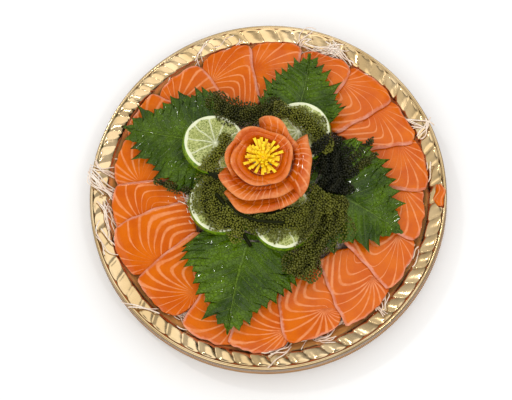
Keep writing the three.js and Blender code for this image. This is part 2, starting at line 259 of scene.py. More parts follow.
BED_SECTION = [(0, 1.6), (112, 1.6), (119, 6), (124, 11.5), (122, 12.6), (104, 12.2), (76, 10.4), (62, 11.6),
               (56, 18), (46, 22), (28, 24), (0, 24.6)]


def strand_mesh(name, sides, rings, count):
    """Many straight round strands in one mesh, ready to be laid."""
    bm = bmesh.new()
    bmesh.ops.create_cone(bm, cap_ends=True, segments=sides, radius1=1, radius2=1, depth=1)
    long_edges = [e for e in bm.edges if abs(e.verts[0].co.z - e.verts[1].co.z) > 0.5]
    bmesh.ops.subdivide_edges(bm, edges=long_edges, cuts=rings - 1)
    one = mesh_from(bm, name)
    bm = bmesh.new()
    for _ in range(count):
        bm.from_mesh(one)
    return mesh_from(bm, name), points_of(one)


def lay_tube(points, route, thick, flat=1.0):
    """A straight template laid along route(t), which gives places in millimetres for t from 0 to 1."""
    t = points[:, 2] + 0.5
    here = route(t)
    ahead = route(t + 0.01) - route(t - 0.01)
    ahead /= np.linalg.norm(ahead, axis=1, keepdims=True)
    side = np.stack([-ahead[:, 1], ahead[:, 0], np.zeros(len(t))], axis=1)
    side /= np.maximum(np.linalg.norm(side, axis=1, keepdims=True), 1e-6)
    up = np.cross(side, ahead)
    width = thick(t)[:, None] if callable(thick) else thick
    return here + side * points[:, 0:1] * width - up * points[:, 1:2] * width * flat


def tray_height(radius):
    """Height of the tray's inner surface at a radius, over the rim and down outside it."""
    return np.interp(radius, [0, 115, 121.5, 132.6, 141, 144.5, 148, 170],
                     [1.2, 1.5, 6.0, 20.6, 25.0, 26.4, 24.5, 23])


def strand_route(rng, radius, turn, heading, length, bend, lift):
    waves = [rng.uniform(-1, 1) for _ in range(4)]

    def route(t):
        s = (t - 0.5) * length
        swing = heading + bend * (t - 0.5) + 0.25 * waves[0] * np.sin(6 * t + 3 * waves[1])
        x = radius * math.cos(turn) + s * np.cos(swing)
        y = radius * math.sin(turn) + s * np.sin(swing)
        r = np.hypot(x, y)
        x = np.where(r > OUTERMOST, x * OUTERMOST / r, x)
        y = np.where(r > OUTERMOST, y * OUTERMOST / r, y)
        rise = lift * (1 + 0.5 * waves[2] * np.sin(5 * t + waves[3]))
        low = tray_height(np.minimum(r, OUTERMOST)) + 0.7
        heap = np.maximum(low, np.interp(r, [0, 50, 60, 70, 105, BED_RADIUS], [24, 22, 16, 12.3, 13.4, 13]))
        return np.stack([x, y, heap + rise], axis=1)
    return route


def radish_strands():
    rng = random.Random(5)
    count = STRANDS_UNDER + sum(bundle[5] for bundle in BUNDLES)
    mesh, one = strand_mesh("radish strands", STRAND_SIDES, STRAND_RINGS, count)
    laid = []
    for _ in range(STRANDS_UNDER):
        turn = rng.uniform(0, 2 * math.pi)
        radius = rng.choice([rng.uniform(118, 125), rng.uniform(62, 118)])
        heading = turn + math.pi / 2 + rng.gauss(0, 0.25)
        route = strand_route(rng, radius, turn, heading, rng.uniform(18, 36), rng.gauss(0.25, 0.3),
                             rng.uniform(0, 0.7))
        laid.append(lay_tube(one, route, rng.uniform(0.26, 0.48)))
    for degrees, radius, slant, wide, lift, strands, length in BUNDLES:
        bend = rng.gauss(0.3, 0.3)
        for _ in range(strands):
            turn = math.radians(degrees)
            heading = turn + math.pi / 2 + math.radians(slant)
            aside, along = rng.gauss(0, wide), rng.gauss(0, 3)
            x = radius * math.cos(turn) - aside * math.sin(heading) + along * math.cos(heading)
            y = radius * math.sin(turn) + aside * math.cos(heading) + along * math.sin(heading)
            route = strand_route(rng, math.hypot(x, y), math.atan2(y, x), heading + rng.gauss(0, 0.16),
                                 length * rng.uniform(0.75, 1.15), bend + rng.gauss(0, 0.3),
                                 lift * rng.uniform(0.3, 1.2))
            laid.append(lay_tube(one, route, rng.uniform(0.3, 0.6)))
    return mesh, np.concatenate(laid)


radish, tree, shader = new_finish("raw white radish", paint(236, 222, 208), 0.3)
white = mix(tree, fade(tree, clouds(tree, 90, 2), 0.35, 0.65), paint(236, 212, 190), paint(252, 240, 226))
tree.links.new(white, shader.inputs["Base Color"])
tree.links.new(relief(tree, clouds(tree, 900, 2), 0.0003, 0.4), shader.inputs["Normal"])

strands, laid = radish_strands()
finish_piece("radish_strands", strands, laid, radish, [])

bed = turned("radish bed", BED_SECTION, 240, cuts=5)
p = points_of(bed)
ragged = np.sin(p[:, 0] * 1.3 + 2 * np.sin(p[:, 1] / 3)) * np.cos(p[:, 1] * 1.1 + np.sin(p[:, 0] / 4))
p[:, 2] += np.where(p[:, 2] > 6, 0.5 * ragged, 0)
finish_piece("radish_heap", bed, p, radish, ["radish_bed"])


# Salmon slices: raw fillet cut on the slant into broad slices 3.5 mm thick. Each lies with one long
# edge on the slice before it. White fat lies in fans and nested points, and the cut edge shows pale pink.
LAID_AT = [6, 24, 43, 63, 82, 103, 123, 143, 162, 179, 201, 225, 244, 265, 288, 308, 329, 348]
SLICES = len(LAID_AT)
SLICE_THICK, SLICE_TOP = 3.5, 22.7
SLICE_STEP = 4.1  # how far a slice falls from one neighbour to the next
RING_RISE, RING_INNER, RING_OUTER = 3.8, 68.0, 129.6
END_LIFT = 1.6  # how far the outer ends ride up the tray's wall
RING_SHIFT, SHIFT_TOWARDS = 1.8, math.radians(40)  # the whole ring lies a little to one side
REACH_MORE = {9: 1.2, 10: 2.6, 11: 3.0, 12: 2.4}  # slices pushed nearer to the wall
INNER_MORE = {9: 5.5, 10: 5.5, 11: 5.5}  # slices whose inner ends reach further in
FRAY, TORN = 0.6, {0: 2.6, 1: 2.6}  # how ragged an inner end is, and the slices with torn ones
SLICE_LENGTH, SLICE_WIDE, SLICE_NARROW = 60.0, 47.0, 37.0
CUT_EDGE = 2.2  # width of the slanting cut edge seen from above
FAN_STEP = 15.0  # degrees between the fat lines of a fan
FAT_STEP = 5.4  # millimetres between lines that run side by side


def slab_mesh(name, across_steps, along_steps):
    """A closed flat slab of unit size, finely divided, and its points' places across, along and through."""
    bm = bmesh.new()
    bmesh.ops.create_grid(bm, x_segments=across_steps, y_segments=along_steps, size=0.5)
    bmesh.ops.solidify(bm, geom=list(bm.faces), thickness=1.0)
    mesh = mesh_from(bm, name)
    p = points_of(mesh)
    p[:, 2] -= (p[:, 2].max() + p[:, 2].min()) / 2
    return mesh, p[:, 0], p[:, 1], p[:, 2]


def ring_top(x, y):
    r = np.hypot(x, y)
    share = (RING_OUTER - r) / (RING_OUTER - RING_INNER)
    return SLICE_TOP + RING_RISE * np.clip(share, -0.2, 1) + END_LIFT * np.clip((r - 123) / 7, 0, 1) ** 2


def unevenness(x, y):
    return 0.3 * np.sin(x / 13 + 1.1) * np.cos(y / 17) + 0.22 * np.sin((x - 1.7 * y) / 23)


def slice_phase(turn):
    degrees = np.mod(np.degrees(turn) - LAID_AT[0], 360)
    return np.interp(degrees, [a - LAID_AT[0] for a in LAID_AT] + [360], range(SLICES + 1))


def wobble(x, y, rng, size, reach):
    """A slow random shift of a pattern."""
    out = 0
    for _ in range(3):
        a, b = rng.uniform(0, 2 * math.pi), rng.uniform(0.6, 1.5) / reach
        out = out + np.sin(x * math.cos(a) * b + y * math.sin(a) * b + rng.uniform(0, 6))
    return out * size / 2


def fat_lines(across, along, rng, hub, apex, tilt, step, bold=1.0):
    """Which fat line a spot lies on, as a running number, and a line's half width in those numbers."""
    across = across + wobble(across, along, rng, 2.4, 12)
    along = along + wobble(across, along, rng, 2.4, 12)
    right, up = hub[0] - across, along - hub[1]
    away = np.hypot(right, up)
    slant = np.degrees(np.arctan2(up, right)) + 0.45 * away
    ray = rng.uniform(-6, 10)
    full = (105 - ray) / FAN_STEP
    fan = np.where(slant > ray, (105 - slant) / FAN_STEP,
                   full + away * np.sin(np.radians(np.clip(ray - slant, 0, 90))) / step)
    arm = full + ((across - apex[0]) * math.cos(tilt) + (along - apex[1]) * math.sin(tilt)) / step
    soft = 0.5
    level = -soft * np.logaddexp(-fan / soft, -arm / soft)
    half = bold * (0.2 + 0.45 * np.clip(away / 36, 0, 1) + 0.3 * wobble(across, along, rng, 1.0, 8))
    gap = np.where((slant > ray) & (fan < arm), np.maximum(away, 4) * math.radians(FAN_STEP), step)
    return level, np.clip(half / gap, 0.02, 0.3)


def spread(u, steep):
    """Crowds a slab's divisions towards its edges."""
    return 0.5 * np.sign(u) * (1 - (1 - np.abs(2 * u)) ** steep)


def fray_at(u, v, size, rng):
    """How far the ragged ends of a slice reach out or fall short: most at the inner end of a torn slice."""
    ends = np.where(v < 0, size, 0.7) * np.abs(2 * v) ** 3
    return ends * (wobble(u * 45, v * 8, rng, 1.0, 3.2) + 0.6 * wobble(u * 45, v * 9, rng, 1.0, 1.6))


def salmon_slice(k):
    rng = random.Random(40 + k)
    mesh, u, v, w = slab_mesh(f"salmon slice {k + 1}", 52, 44)
    u, v = spread(u, 1.35), spread(v, 1.35)
    turn = math.radians(LAID_AT[k])
    along = turn + math.radians(10 * math.cos(turn - math.radians(145)))
    length_axis = np.array([math.cos(along), math.sin(along)])
    width_axis = np.array([-length_axis[1], length_axis[0]])
    reach = RING_OUTER + RING_SHIFT * math.cos(turn - SHIFT_TOWARDS) + 1.6 * math.sin(2.3 * k)
    reach += REACH_MORE.get(k, 0.0)
    edge_middle = np.array([math.cos(turn), math.sin(turn)]) * (reach - SLICE_LENGTH / 2)
    share = np.clip((v + 0.5) / 0.6, 0, 1)
    wide = SLICE_NARROW + (SLICE_WIDE - SLICE_NARROW) * share * share * (3 - 2 * share)
    bow = 2.2 * np.cos(np.pi * v) * math.cos(1.7 * k)
    nicks = 0.6 * wobble(v * 60, u * 9, rng, 1.0, 4)
    across = (u + 0.5) * wide * (1 - 0.1 * (2 * v) ** 4) + (bow + nicks) * (0.5 - u)
    px = edge_middle[0] + width_axis[0] * (across + 1.3 * (2 * v) ** 4)
    py = edge_middle[1] + width_axis[1] * (across + 1.3 * (2 * v) ** 4)
    inwards = px * length_axis[0] + py * length_axis[1]
    to_wall = np.sqrt(inwards ** 2 - px ** 2 - py ** 2 + reach ** 2) - inwards
    half = np.where(v > 0, to_wall, SLICE_LENGTH / 2 + INNER_MORE.get(k, 0))
    run = 2 * v * half * (1 - 0.13 * (2 * u) ** 4) + fray_at(u, v, TORN.get(k, FRAY), rng)
    px, py = px + length_axis[0] * run, py + length_axis[1] * run
    ahead = slice_phase(np.arctan2(py, px)) - k
    ahead -= SLICES * np.round(ahead / SLICES)
    top = w > 0
    to_end = (1 - np.abs(2 * v)) * SLICE_LENGTH / 2
    to_cut = (u + 0.5) * wide
    slope = np.clip(1 - to_cut / CUT_EDGE, 0, 1)
    rounding = np.clip(1 - np.minimum(to_end, (0.5 - u) * wide) / 1.4, 0, 1) ** 2
    swell = 0.35 * np.sin(px / 6.5 + k) * np.sin(py / 7.5 + 2 * k) * np.clip(to_cut / 8, 0, 1)
    base = ring_top(px, py) - SLICE_THICK + unevenness(px, py) - SLICE_STEP * ahead
    pz = base + (w + 0.5) * SLICE_THICK
    pz = pz + np.where(top, -2.4 * slope - 1.1 * rounding + 0.4 * swell - 0.15, 0)
    hub = (rng.uniform(35, 41), rng.uniform(29, 37))
    apex = (rng.uniform(6, 14), rng.uniform(24, 29))
    tilt, step = math.radians(rng.uniform(8, 30)), FAT_STEP * rng.uniform(0.85, 1.1)
    level, width = fat_lines(across, (v + 0.5) * SLICE_LENGTH, rng, hub, apex, tilt, step,
                             1.15 - 0.4 * math.cos(turn - SHIFT_TOWARDS))
    cut = np.where(top, to_cut, 0)
    rim = np.where(v > 0, np.minimum(to_end, 9), 9)
    values = {"fat_line": level, "fat_width": width, "from_cut_and_lit_lip": cut, "from_end": rim}
    number = f"{k + 1:02d}"
    finish_piece(f"salmon_slice_{number}_meat", mesh, np.stack([px, py, pz], axis=1), salmon,
                 [f"salmon_slice_{number}"], values)


def wet_surface():
    """What every moist cut surface shares: soft pits and lumps, and patches that are wetter than others."""
    group = bpy.data.node_groups.new("moist cut surface", "ShaderNodeTree")
    for name in ("Grain", "Patches"):
        group.interface.new_socket(name, in_out="INPUT", socket_type="NodeSocketFloat")
    for name in ("Height", "Wetness"):
        group.interface.new_socket(name, in_out="OUTPUT", socket_type="NodeSocketFloat")
    given = group.nodes.new("NodeGroupInput")
    out = group.nodes.new("NodeGroupOutput")
    where = add(group, "TexCoord").outputs["Object"]
    fine = add(group, "TexNoise", {"Vector": where, "Scale": given.outputs["Grain"], "Detail": 3.0})
    broad = add(group, "TexNoise", {"Vector": where, "Scale": given.outputs["Patches"], "Detail": 2.0})
    group.links.new(fine.outputs["Fac"], out.inputs["Height"])
    group.links.new(fade(group, broad.outputs["Fac"], 0.38, 0.62), out.inputs["Wetness"])
    return group


moist = wet_surface()


def moist_on(tree, grain, patches):
    made = add(tree, "Group", node_tree=moist)
    made.inputs["Grain"].default_value = grain
    made.inputs["Patches"].default_value = patches
    return made.outputs["Height"], made.outputs["Wetness"]


def value_of(tree, name):
    return add(tree, "Attribute", attribute_name=name).outputs["Fac"]


def minus(tree, first, second):
    return calc(tree, "SUBTRACT", first, second)


def off_whole(tree, value):
    """How far a running number is from the nearest whole one."""
    return calc(tree, "ABSOLUTE", minus(tree, value, calc(tree, "ROUND", value)))


def flecked(tree, value, fleck, size):
    """A value with a ragged edge."""
    return plus(tree, value, times(tree, minus(tree, fleck, 0.5), size))


def salmon_finish(name, flesh, deep, fat, edge):
    material, tree, shader = new_finish(name, flesh, 0.36, Coat_Weight=0.32, Coat_Roughness=0.06,
                                        Specular_IOR_Level=0.08)
    share = calc(tree, "DIVIDE", off_whole(tree, value_of(tree, "fat_line")), value_of(tree, "fat_width"))
    fleck = clouds(tree, 420, 2)
    mask = fade(tree, flecked(tree, share, fleck, 0.9), 0.45, 1.5, 1.0, 0.0)
    fine = fade(tree, clouds(tree, 60, 3), 0.3, 0.7)
    meat = mix(tree, fine, deep, flesh)
    grained = mix(tree, times(tree, mask, fade(tree, clouds(tree, 150, 2), 0.25, 0.6, 0.35, 0.8)), meat, fat)
    # A pale band at the slices' cut edge. On the rose strips the same band runs along the lip, where it is
    # painted light through the thin edge.
    side = fade(tree, flecked(tree, value_of(tree, "from_cut_and_lit_lip"), fleck, 2.4), 0.8, 3.0, 1.0, 0.0)
    side = times(tree, side, fade(tree, clouds(tree, 130, 3), 0.34, 0.62, 0.4, 0.95))
    tip = fade(tree, flecked(tree, value_of(tree, "from_end"), fleck, 3.0), 0.2, 2.6, 0.7, 0.0)
    tip = times(tree, tip, fade(tree, clouds(tree, 45, 2), 0.4, 0.62))
    tree.links.new(mix(tree, calc(tree, "MAXIMUM", side, tip), grained, edge), shader.inputs["Base Color"])
    height, wet = moist_on(tree, 700.0, 55.0)
    tree.links.new(fade(tree, wet, 0.0, 1.0, 0.42, 0.24), shader.inputs["Roughness"])
    lumps = plus(tree, times(tree, height, 0.45), times(tree, mask, 0.25))
    lumps = plus(tree, lumps, times(tree, clouds(tree, 170, 2), 0.9))
    tree.links.new(relief(tree, lumps, 0.0009, 0.55), shader.inputs["Normal"])
    return material


salmon = salmon_finish("raw salmon", paint(216, 104, 0), paint(200, 86, 0), paint(236, 152, 98),
                       paint(232, 164, 140))
for k in range(SLICES):
    salmon_slice(k)


# Salmon trimming: a small offcut of the same fillet, fallen on the gold rim beside the ring.
TRIM_LONG, TRIM_WIDE, TRIM_THICK = 18, 8, 2.6
TRIM_RADIUS, TRIM_TURN = 139.6, math.radians(-15.5)  # where it lies on the rim
TRIM_BEND = 139  # radius of its bend
ABOVE_RIM = 1.3  # clear of the gadroons' crests
rng = random.Random(3)
mesh, u, v, w = slab_mesh("salmon trimming", 20, 14)
radius = TRIM_RADIUS + v * TRIM_WIDE * (1 - 2 * u * u) + 0.8 * np.sin(9 * u)
turn = TRIM_TURN + u * TRIM_LONG / TRIM_BEND
rise = tray_height(radius) + ABOVE_RIM
edge = np.maximum(np.abs(2 * u), np.abs(2 * v)) ** 3
heights = rise + (w + 0.5) * (TRIM_THICK - TRIM_THICK / 2 * edge) + 0.4 * np.sin(7 * u + 5 * v)
level, width = fat_lines(u * TRIM_LONG + 20, v * TRIM_WIDE + 30, rng, (38, 33), (9, 27), 0.3, 4.0)
inside = np.full(len(u), 6.0)
finish_piece("salmon_trimming", mesh, np.stack([radius * np.cos(turn), radius * np.sin(turn), heights], 1),
             salmon, ["salmon_offcut"],
             {"fat_line": level, "fat_width": width, "from_cut_and_lit_lip": inside, "from_end": inside})


# Shiso leaves: fresh broad leaves with saw teeth, one thin blade each, puffed up between its veins. They lie
# on the salmon with their points outwards.
LEAF_THICK, LEAF_GAP = 0.35, 1.9
LEAF_TEETH, TOOTH_SIZE = 14, 8.6
ROWS_PER_TOOTH = 8
VEIN_STEP = 10.5  # between side veins, along the midrib
# name, middle of the base, where the point faces, length, width, seed
LEAVES = [
    ("shiso_leaf_left", (-21, 39), 155, 93, 94, 3),
    ("shiso_leaf_back", (29, 41), 64, 74, 72, 8),
    ("shiso_leaf_right", (29, 4), -43, 95, 106, 12),
    ("shiso_leaf_front", (-16, -28), 244.5, 90, 96, 21),
]


def blade_half_width(share):
    return np.sin(np.pi * share ** 0.68) ** 0.85 * (1 - 0.18 * share)


def shiso_leaf(name, base, points_to, length, width, seed):
    rng = random.Random(seed)
    rows = LEAF_TEETH * ROWS_PER_TOOTH
    mesh, u, v, w = slab_mesh(name, 40, rows)
    share = 0.015 + 0.985 * (v + 0.5)
    row = (v + 0.5) * LEAF_TEETH
    step = row - np.floor(row + 1e-6)
    size = np.array([rng.uniform(0.45, 1.5) for _ in range(2 * LEAF_TEETH + 2)])
    which = np.clip(np.floor(row + 1e-6).astype(int), 0, LEAF_TEETH)
    uneven = size[which + np.where(u > 0, LEAF_TEETH + 1, 0)]
    saw = np.where(step < 0.75, (step / 0.75) ** 1.3, (1 - step) / 0.25) * uneven
    small = 0.2 * np.sin(np.pi * np.clip(step / 0.45, 0, 1)) ** 2
    ends = np.clip(np.sin(np.pi * np.clip(share, 0, 1)) * 2.2, 0.12, 1)
    tooth = TOOTH_SIZE * (saw + small) * ends
    half = np.maximum(width / 2 * blade_half_width(np.minimum(share, 0.996)) - 4.4, 0.5)
    out = np.abs(2 * u)
    edge = out ** 4
    x = np.sign(u) * (out * half + edge * tooth * 0.75)
    y = length * share + edge * tooth * 0.9 - 0.06 * width * out * np.sin(np.pi * share)
    sway = 3.0 * math.sin(seed) * np.sin(np.pi * share)
    x = x + sway
    along = y - 0.72 * np.abs(x - sway)
    vein = along / VEIN_STEP + 0.07 * wobble(x, y, rng, 1.0, 7) + np.where(u > 0, 0.45, 0.0) + 0.2 * out * out
    puff = 0.5 - 0.5 * np.cos(2 * np.pi * vein)
    turn = math.radians(points_to)
    px = base[0] + y * math.cos(turn) + x * math.sin(turn)
    py = base[1] + y * math.sin(turn) - x * math.cos(turn)
    fold = 1.1 * out ** 1.2 * np.sin(np.pi * share)
    curl = 1.5 * out ** 2 * np.sin(share * 11 + seed + np.where(u > 0, 1.7, 0)) + 1.2 * edge * saw * ends
    drop = 0.5 + 0.5 * np.sin(px / 9 + seed) * np.sin(py / 8)
    pz = ring_top(px, py) + LEAF_GAP + fold + np.maximum(curl, -0.7)
    pz = pz + 1.5 * puff * np.clip(out * 4, 0, 1) * ends + 0.45 * wobble(px, py, rng, 1.0, 3.2)
    pz = pz + 0.8 * drop + (w + 0.5) * LEAF_THICK - 0.8 * np.clip(1 - out * 9, 0, 1)
    stalk = np.clip(1 - np.abs(x - sway) / 1.2, 0, 1)
    values = {"vein": vein, "vein_width": 0.3 * (1.15 - out) / VEIN_STEP + 0.008, "midrib": stalk}
    finish_piece(f"{name}_blade", mesh, np.stack([px, py, pz], axis=1), leaf_green, [name], values)


leaf_green, tree, shader = new_finish("shiso leaf", paint(62, 104, 14), 0.4, Coat_Weight=0.32,
                                      Coat_Roughness=0.07, Specular_IOR_Level=0.1)
near = off_whole(tree, value_of(tree, "vein"))
on_vein = fade(tree, calc(tree, "DIVIDE", near, value_of(tree, "vein_width")), 0.6, 1.8, 1.0, 0.0)
on_vein = calc(tree, "MAXIMUM", on_vein, fade(tree, value_of(tree, "midrib"), 0.2, 0.8))
net = add(tree, "TexVoronoi", {"Vector": place_of(tree), "Scale": 330.0}, feature="DISTANCE_TO_EDGE")
net_line = fade(tree, net.outputs["Distance"], 0.0, 0.16, 1.0, 0.0)
blade = mix(tree, fade(tree, clouds(tree, 45, 3), 0.3, 0.7), paint(40, 64, 0), paint(88, 118, 0))
blade = mix(tree, times(tree, net_line, 0.3), blade, paint(104, 138, 30))
tree.links.new(mix(tree, times(tree, on_vein, 0.4), blade, paint(126, 156, 54)),
               shader.inputs["Base Color"])
lumps = minus(tree, clouds(tree, 260, 3), times(tree, net_line, 0.5))
lumps = minus(tree, lumps, times(tree, on_vein, 0.8))
tree.links.new(relief(tree, lumps, 0.0018), shader.inputs["Normal"])
tree.links.new(fade(tree, clouds(tree, 70, 2), 0.35, 0.65, 0.26, 0.46), shader.inputs["Roughness"])
for leaf in LEAVES:
    shiso_leaf(*leaf)


# Lime slices: wheels cut across a fresh lime, 6 mm thick, green rind outside white pith, with segments of
# pulp between pale skins. They lie on the leaves, and the left one tips down under the rose.
LIME_RADIUS, LIME_THICK, LIME_LEVEL = 26.0, 6.0, 29.4
PULP_RADIUS, SEGMENTS = 22, 10
LIME_SECTION = [
    (0, 0), (12, 0), (22, 0), (25.4, 0), (26.2, 0.3), (26.5, 1.0), (26.3, 2.8), (25.6, 5.0), (25.3, 5.7),
    (24.8, 6.0), (23.6, 6.0), (22.6, 6.0), (21, 5.9), (18, 5.85), (15, 5.8), (12, 5.8), (9, 5.8), (6, 5.85),
    (3, 5.9), (0, 6.0),
]
# name, middle, tip in degrees, which side is raised, how far it is turned
LIMES = [
    ("lime_slice_left", (-33, 41), 18, 200, 0.3),
    ("lime_slice_back", (36, 38), 2, 45, 1.1),
    ("lime_slice_low", (-37.5, -6.5), 3, 215, 2.2),
    ("lime_slice_front", (9, -30), 2, 280, 0.8),
]


def lime_wheel(name, centre, tip, towards, spin):
    mesh = turned(name, [(r, z - LIME_THICK / 2) for r, z in LIME_SECTION], 120)
    p = points_of(mesh)
    here = np.hypot(p[:, 0], p[:, 1])
    turn = np.arctan2(p[:, 1], p[:, 0])
    pulp = (p[:, 2] > 0) & (here < PULP_RADIUS)
    p[:, 2] += np.where(pulp, 0.175 * np.sin(turn * 31 + here) * np.clip(here / 8, 0, 1), 0)
    oval = 1 + 0.012 * np.sin(2 * turn + spin)
    local = p.copy()
    p[:, 0] *= oval
    p[:, 1] *= oval
    axis = Vector((-math.sin(math.radians(towards)), math.cos(math.radians(towards)), 0))
    lean = np.array(Matrix.Rotation(-math.radians(tip), 3, axis))
    height = LIME_LEVEL + LIME_THICK / 2 + LIME_RADIUS * math.sin(math.radians(tip))
    placed = p @ lean.T + np.array([centre[0], centre[1], height])
    c, s = math.cos(spin), math.sin(spin)
    values = {"wheel_x": local[:, 0] * c - local[:, 1] * s, "wheel_y": local[:, 0] * s + local[:, 1] * c}
    finish_piece(f"{name}_wheel", mesh, placed, lime, [name], values)


lime, tree, shader = new_finish("cut lime", paint(160, 172, 96), 0.35, Coat_Weight=0.4, Coat_Roughness=0.1,
                                Specular_IOR_Level=0.3)
wx, wy = value_of(tree, "wheel_x"), value_of(tree, "wheel_y")
here = distance(tree, wx, wy)
turn = calc(tree, "ARCTAN2", wy, wx)
part = times(tree, flecked(tree, turn, clouds(tree, 80, 1), 0.25), SEGMENTS / (2 * math.pi))
skin_mm = times(tree, times(tree, off_whole(tree, part), here), 2 * math.pi / SEGMENTS)
skin = fade(tree, skin_mm, 0.25, 0.95, 1.0, 0.0)
wall = fade(tree, plus(tree, here, times(tree, skin_mm, -0.18)), 21.6, 22.5)
core = fade(tree, here, 0.8, 2.0, 1.0, 0.0)
rays = add(tree, "CombineXYZ", {"X": times(tree, turn, 9.0), "Y": times(tree, here, 0.22)}).outputs[0]
cells = add(tree, "TexVoronoi", {"Vector": rays, "Scale": 1.6}, feature="DISTANCE_TO_EDGE")
sac = fade(tree, cells.outputs["Distance"], 0.02, 0.3)
pulp = mix(tree, sac, paint(196, 202, 126), paint(112, 130, 24))
pulp = mix(tree, fade(tree, clouds(tree, 90, 2), 0.35, 0.7, 0.0, 0.5), pulp, paint(164, 172, 76))
white = calc(tree, "MAXIMUM", calc(tree, "MAXIMUM", times(tree, skin, 0.7), wall), core)
face = mix(tree, white, pulp, paint(228, 232, 196))
rind = mix(tree, fade(tree, clouds(tree, 500, 2), 0.4, 0.6), paint(78, 118, 6), paint(128, 160, 22))
outer = fade(tree, here, 24.9, 25.25)
tree.links.new(mix(tree, outer, face, rind), shader.inputs["Base Color"])
height, wet = moist_on(tree, 600.0, 90.0)
lumps = plus(tree, times(tree, sac, minus(tree, 1.0, white)),
             times(tree, height, 0.4))
tree.links.new(relief(tree, lumps, 0.0008, 0.7), shader.inputs["Normal"])
tree.links.new(fade(tree, wet, 0.0, 1.0, 0.4, 0.2), shader.inputs["Roughness"])
for wheel in LIMES:
    lime_wheel(*wheel)


# Salmon rose: strips of salmon rolled round each other on edge, their upper edges turned out like petals.
# The heart is a tight coil; the outer strips flare, and two low frilled strips lie round the foot.
ROSE_X, ROSE_Y, ROSE_LEVEL = 2.5, 17.5, 36.6
STRIP_THICK = 3.4
LINE_STEP = 5.2  # between fat lines along a strip
LIP_FADE = 8.0  # how fast the pale lip, painted light through the thin turned-out edge, darkens down the strip
LOW_STRIP = 17.0  # strips lower than this lie open and show bolder fat lines
# name, first angle, span, foot radius, lip radius, foot height, lip height, roll-over, frill, outward wind
STRIPS = [
    ("rose_heart_petal_1", 200, 215, 7.4, 11.6, 3, 16.0, 1.6, 0.6, 2.4),
    ("rose_heart_petal_2", 20, 215, 7.4, 11.6, 3, 16.0, 1.6, 0.6, 2.4),
    ("rose_middle_petal_1", 110, 175, 12.4, 19.0, 1, 24.6, 3.4, 1.6, 2.8),
    ("rose_middle_petal_2", 240, 150, 12.4, 18.4, 1, 22.2, 3.8, 1.6, 2.8),
    ("rose_middle_petal_3", 345, 165, 12.4, 18.6, 1, 23.4, 3.6, 1.4, 2.8),
    ("rose_outer_petal_1", 78, 126, 17.6, 22.4, 1, 20.0, 3.6, 1.4, 2.4),
    ("rose_outer_petal_2", 176, 134, 24.8, 29.6, 1, 15.5, 8.0, 1.2, -4.4),
    ("rose_outer_petal_3", 302, 78, 23.4, 31.6, 1, 17.0, 8.0, 2.2, 1.4),
    ("rose_outer_petal_4", 0, 84, 18.2, 24.8, 1, 19.5, 6.2, 2.4, 2.6),
    ("rose_skirt_petal_1", 205, 76, 30.5, 36.5, 0.6, 7.0, 5.2, 1.8, 0.5),
    ("rose_skirt_petal_2", 276, 48, 29.6, 35.4, 0.6, 6.6, 4.4, 2.0, 1.0),
]


def rose_strip(i, name, start, span, foot, lip, foot_rise, lip_rise, roll, frill, wind):
    rng = random.Random(70 + i)
    mesh, u, v, w = slab_mesh(name, 96, 26)
    v = spread(v, 1.2)
    share, up = u + 0.5, v + 0.5
    turn = np.radians(start + span * share)
    long_mm = share * span * math.pi / 180 * lip
    ends = 1 - 0.55 * np.abs(2 * u) ** 7
    frills = frill * up ** 2 * (1.2 * np.sin(long_mm / 8.5 + 2 * i) + 0.45 * np.sin(long_mm / 3.7 + i))
    flare = up ** 1.5
    over = np.clip((up - 0.5) / 0.5, 0, 1)
    radius = foot + (lip - foot) * flare + wind * share + roll * over ** 1.6 + frills
    rise = foot_rise + (lip_rise - foot_rise) * np.sin(np.clip(up, 0, 1) * np.pi / 2 * 0.98) * ends
    rise = rise - 0.42 * roll * over ** 2.6 + 0.35 * frills
    thick = STRIP_THICK * (1 - 0.3 * up) * (1 - 0.5 * np.abs(2 * v) ** 10)
    lean = np.clip(over * 1.1, 0, 1.1)
    crumple = wobble(long_mm, up * 30, rng, 1.0, 5)
    radius, rise = radius + 0.6 * crumple * up, rise + crumple * up
    radius = radius + w * thick * np.cos(lean)
    rise = rise + w * thick * np.sin(lean)
    px, py = ROSE_X + radius * np.cos(turn), ROSE_Y + radius * np.sin(turn)
    bend = 4 * (up - 0.4) ** 2 * math.sin(3 * i) + wobble(long_mm, up * 25, rng, 6.0, 12)
    level = (long_mm + bend + 9 * up * math.cos(2 * i)) / LINE_STEP
    bolder = 0.035 if rise.max() < LOW_STRIP else 0.0
    width = 0.012 + bolder + 0.05 * wobble(long_mm, up * 12, rng, 1.0, 9) * (0.4 + up)
    width = np.maximum(width, 0.002)
    # The pale band along the lip is painted light through the thin turned-out edge.
    values = {"fat_line": level, "fat_width": width, "from_cut_and_lit_lip": 1.0 + (1 - np.clip(up, 0, 1)) * LIP_FADE,
              "from_end": np.full(len(u), 9.0)}
    finish_piece(f"{name}_strip", mesh, np.stack([px, py, ROSE_LEVEL + rise], axis=1), rose_salmon,
                 [name], values)


# On the rose, the edge colour is painted light on the thin lips.
rose_salmon = salmon_finish("rolled salmon strip", paint(218, 106, 6), paint(194, 78, 0),
                            paint(240, 164, 118), paint(230, 144, 86))
for i, strip in enumerate(STRIPS):
    rose_strip(i, *strip)


# Flower: a small yellow food chrysanthemum set in the heart of the rose. Narrow gutter-shaped petals with
# notched ends stand in five whorls round a tight middle.
FLOWER_X, FLOWER_Y, FLOWER_BASE = 2.5, 16.8, 51.2
# petals, length, lift in degrees, where the whorl starts, height
WHORLS = [
    (17, 14.4, 36, 2.4, 0.0), (15, 12.8, 48, 2.2, 0.4), (12, 10.6, 60, 1.8, 0.8), (10, 8.8, 70, 1.2, 1.2),
    (8, 7.4, 80, 0.6, 1.4),
]


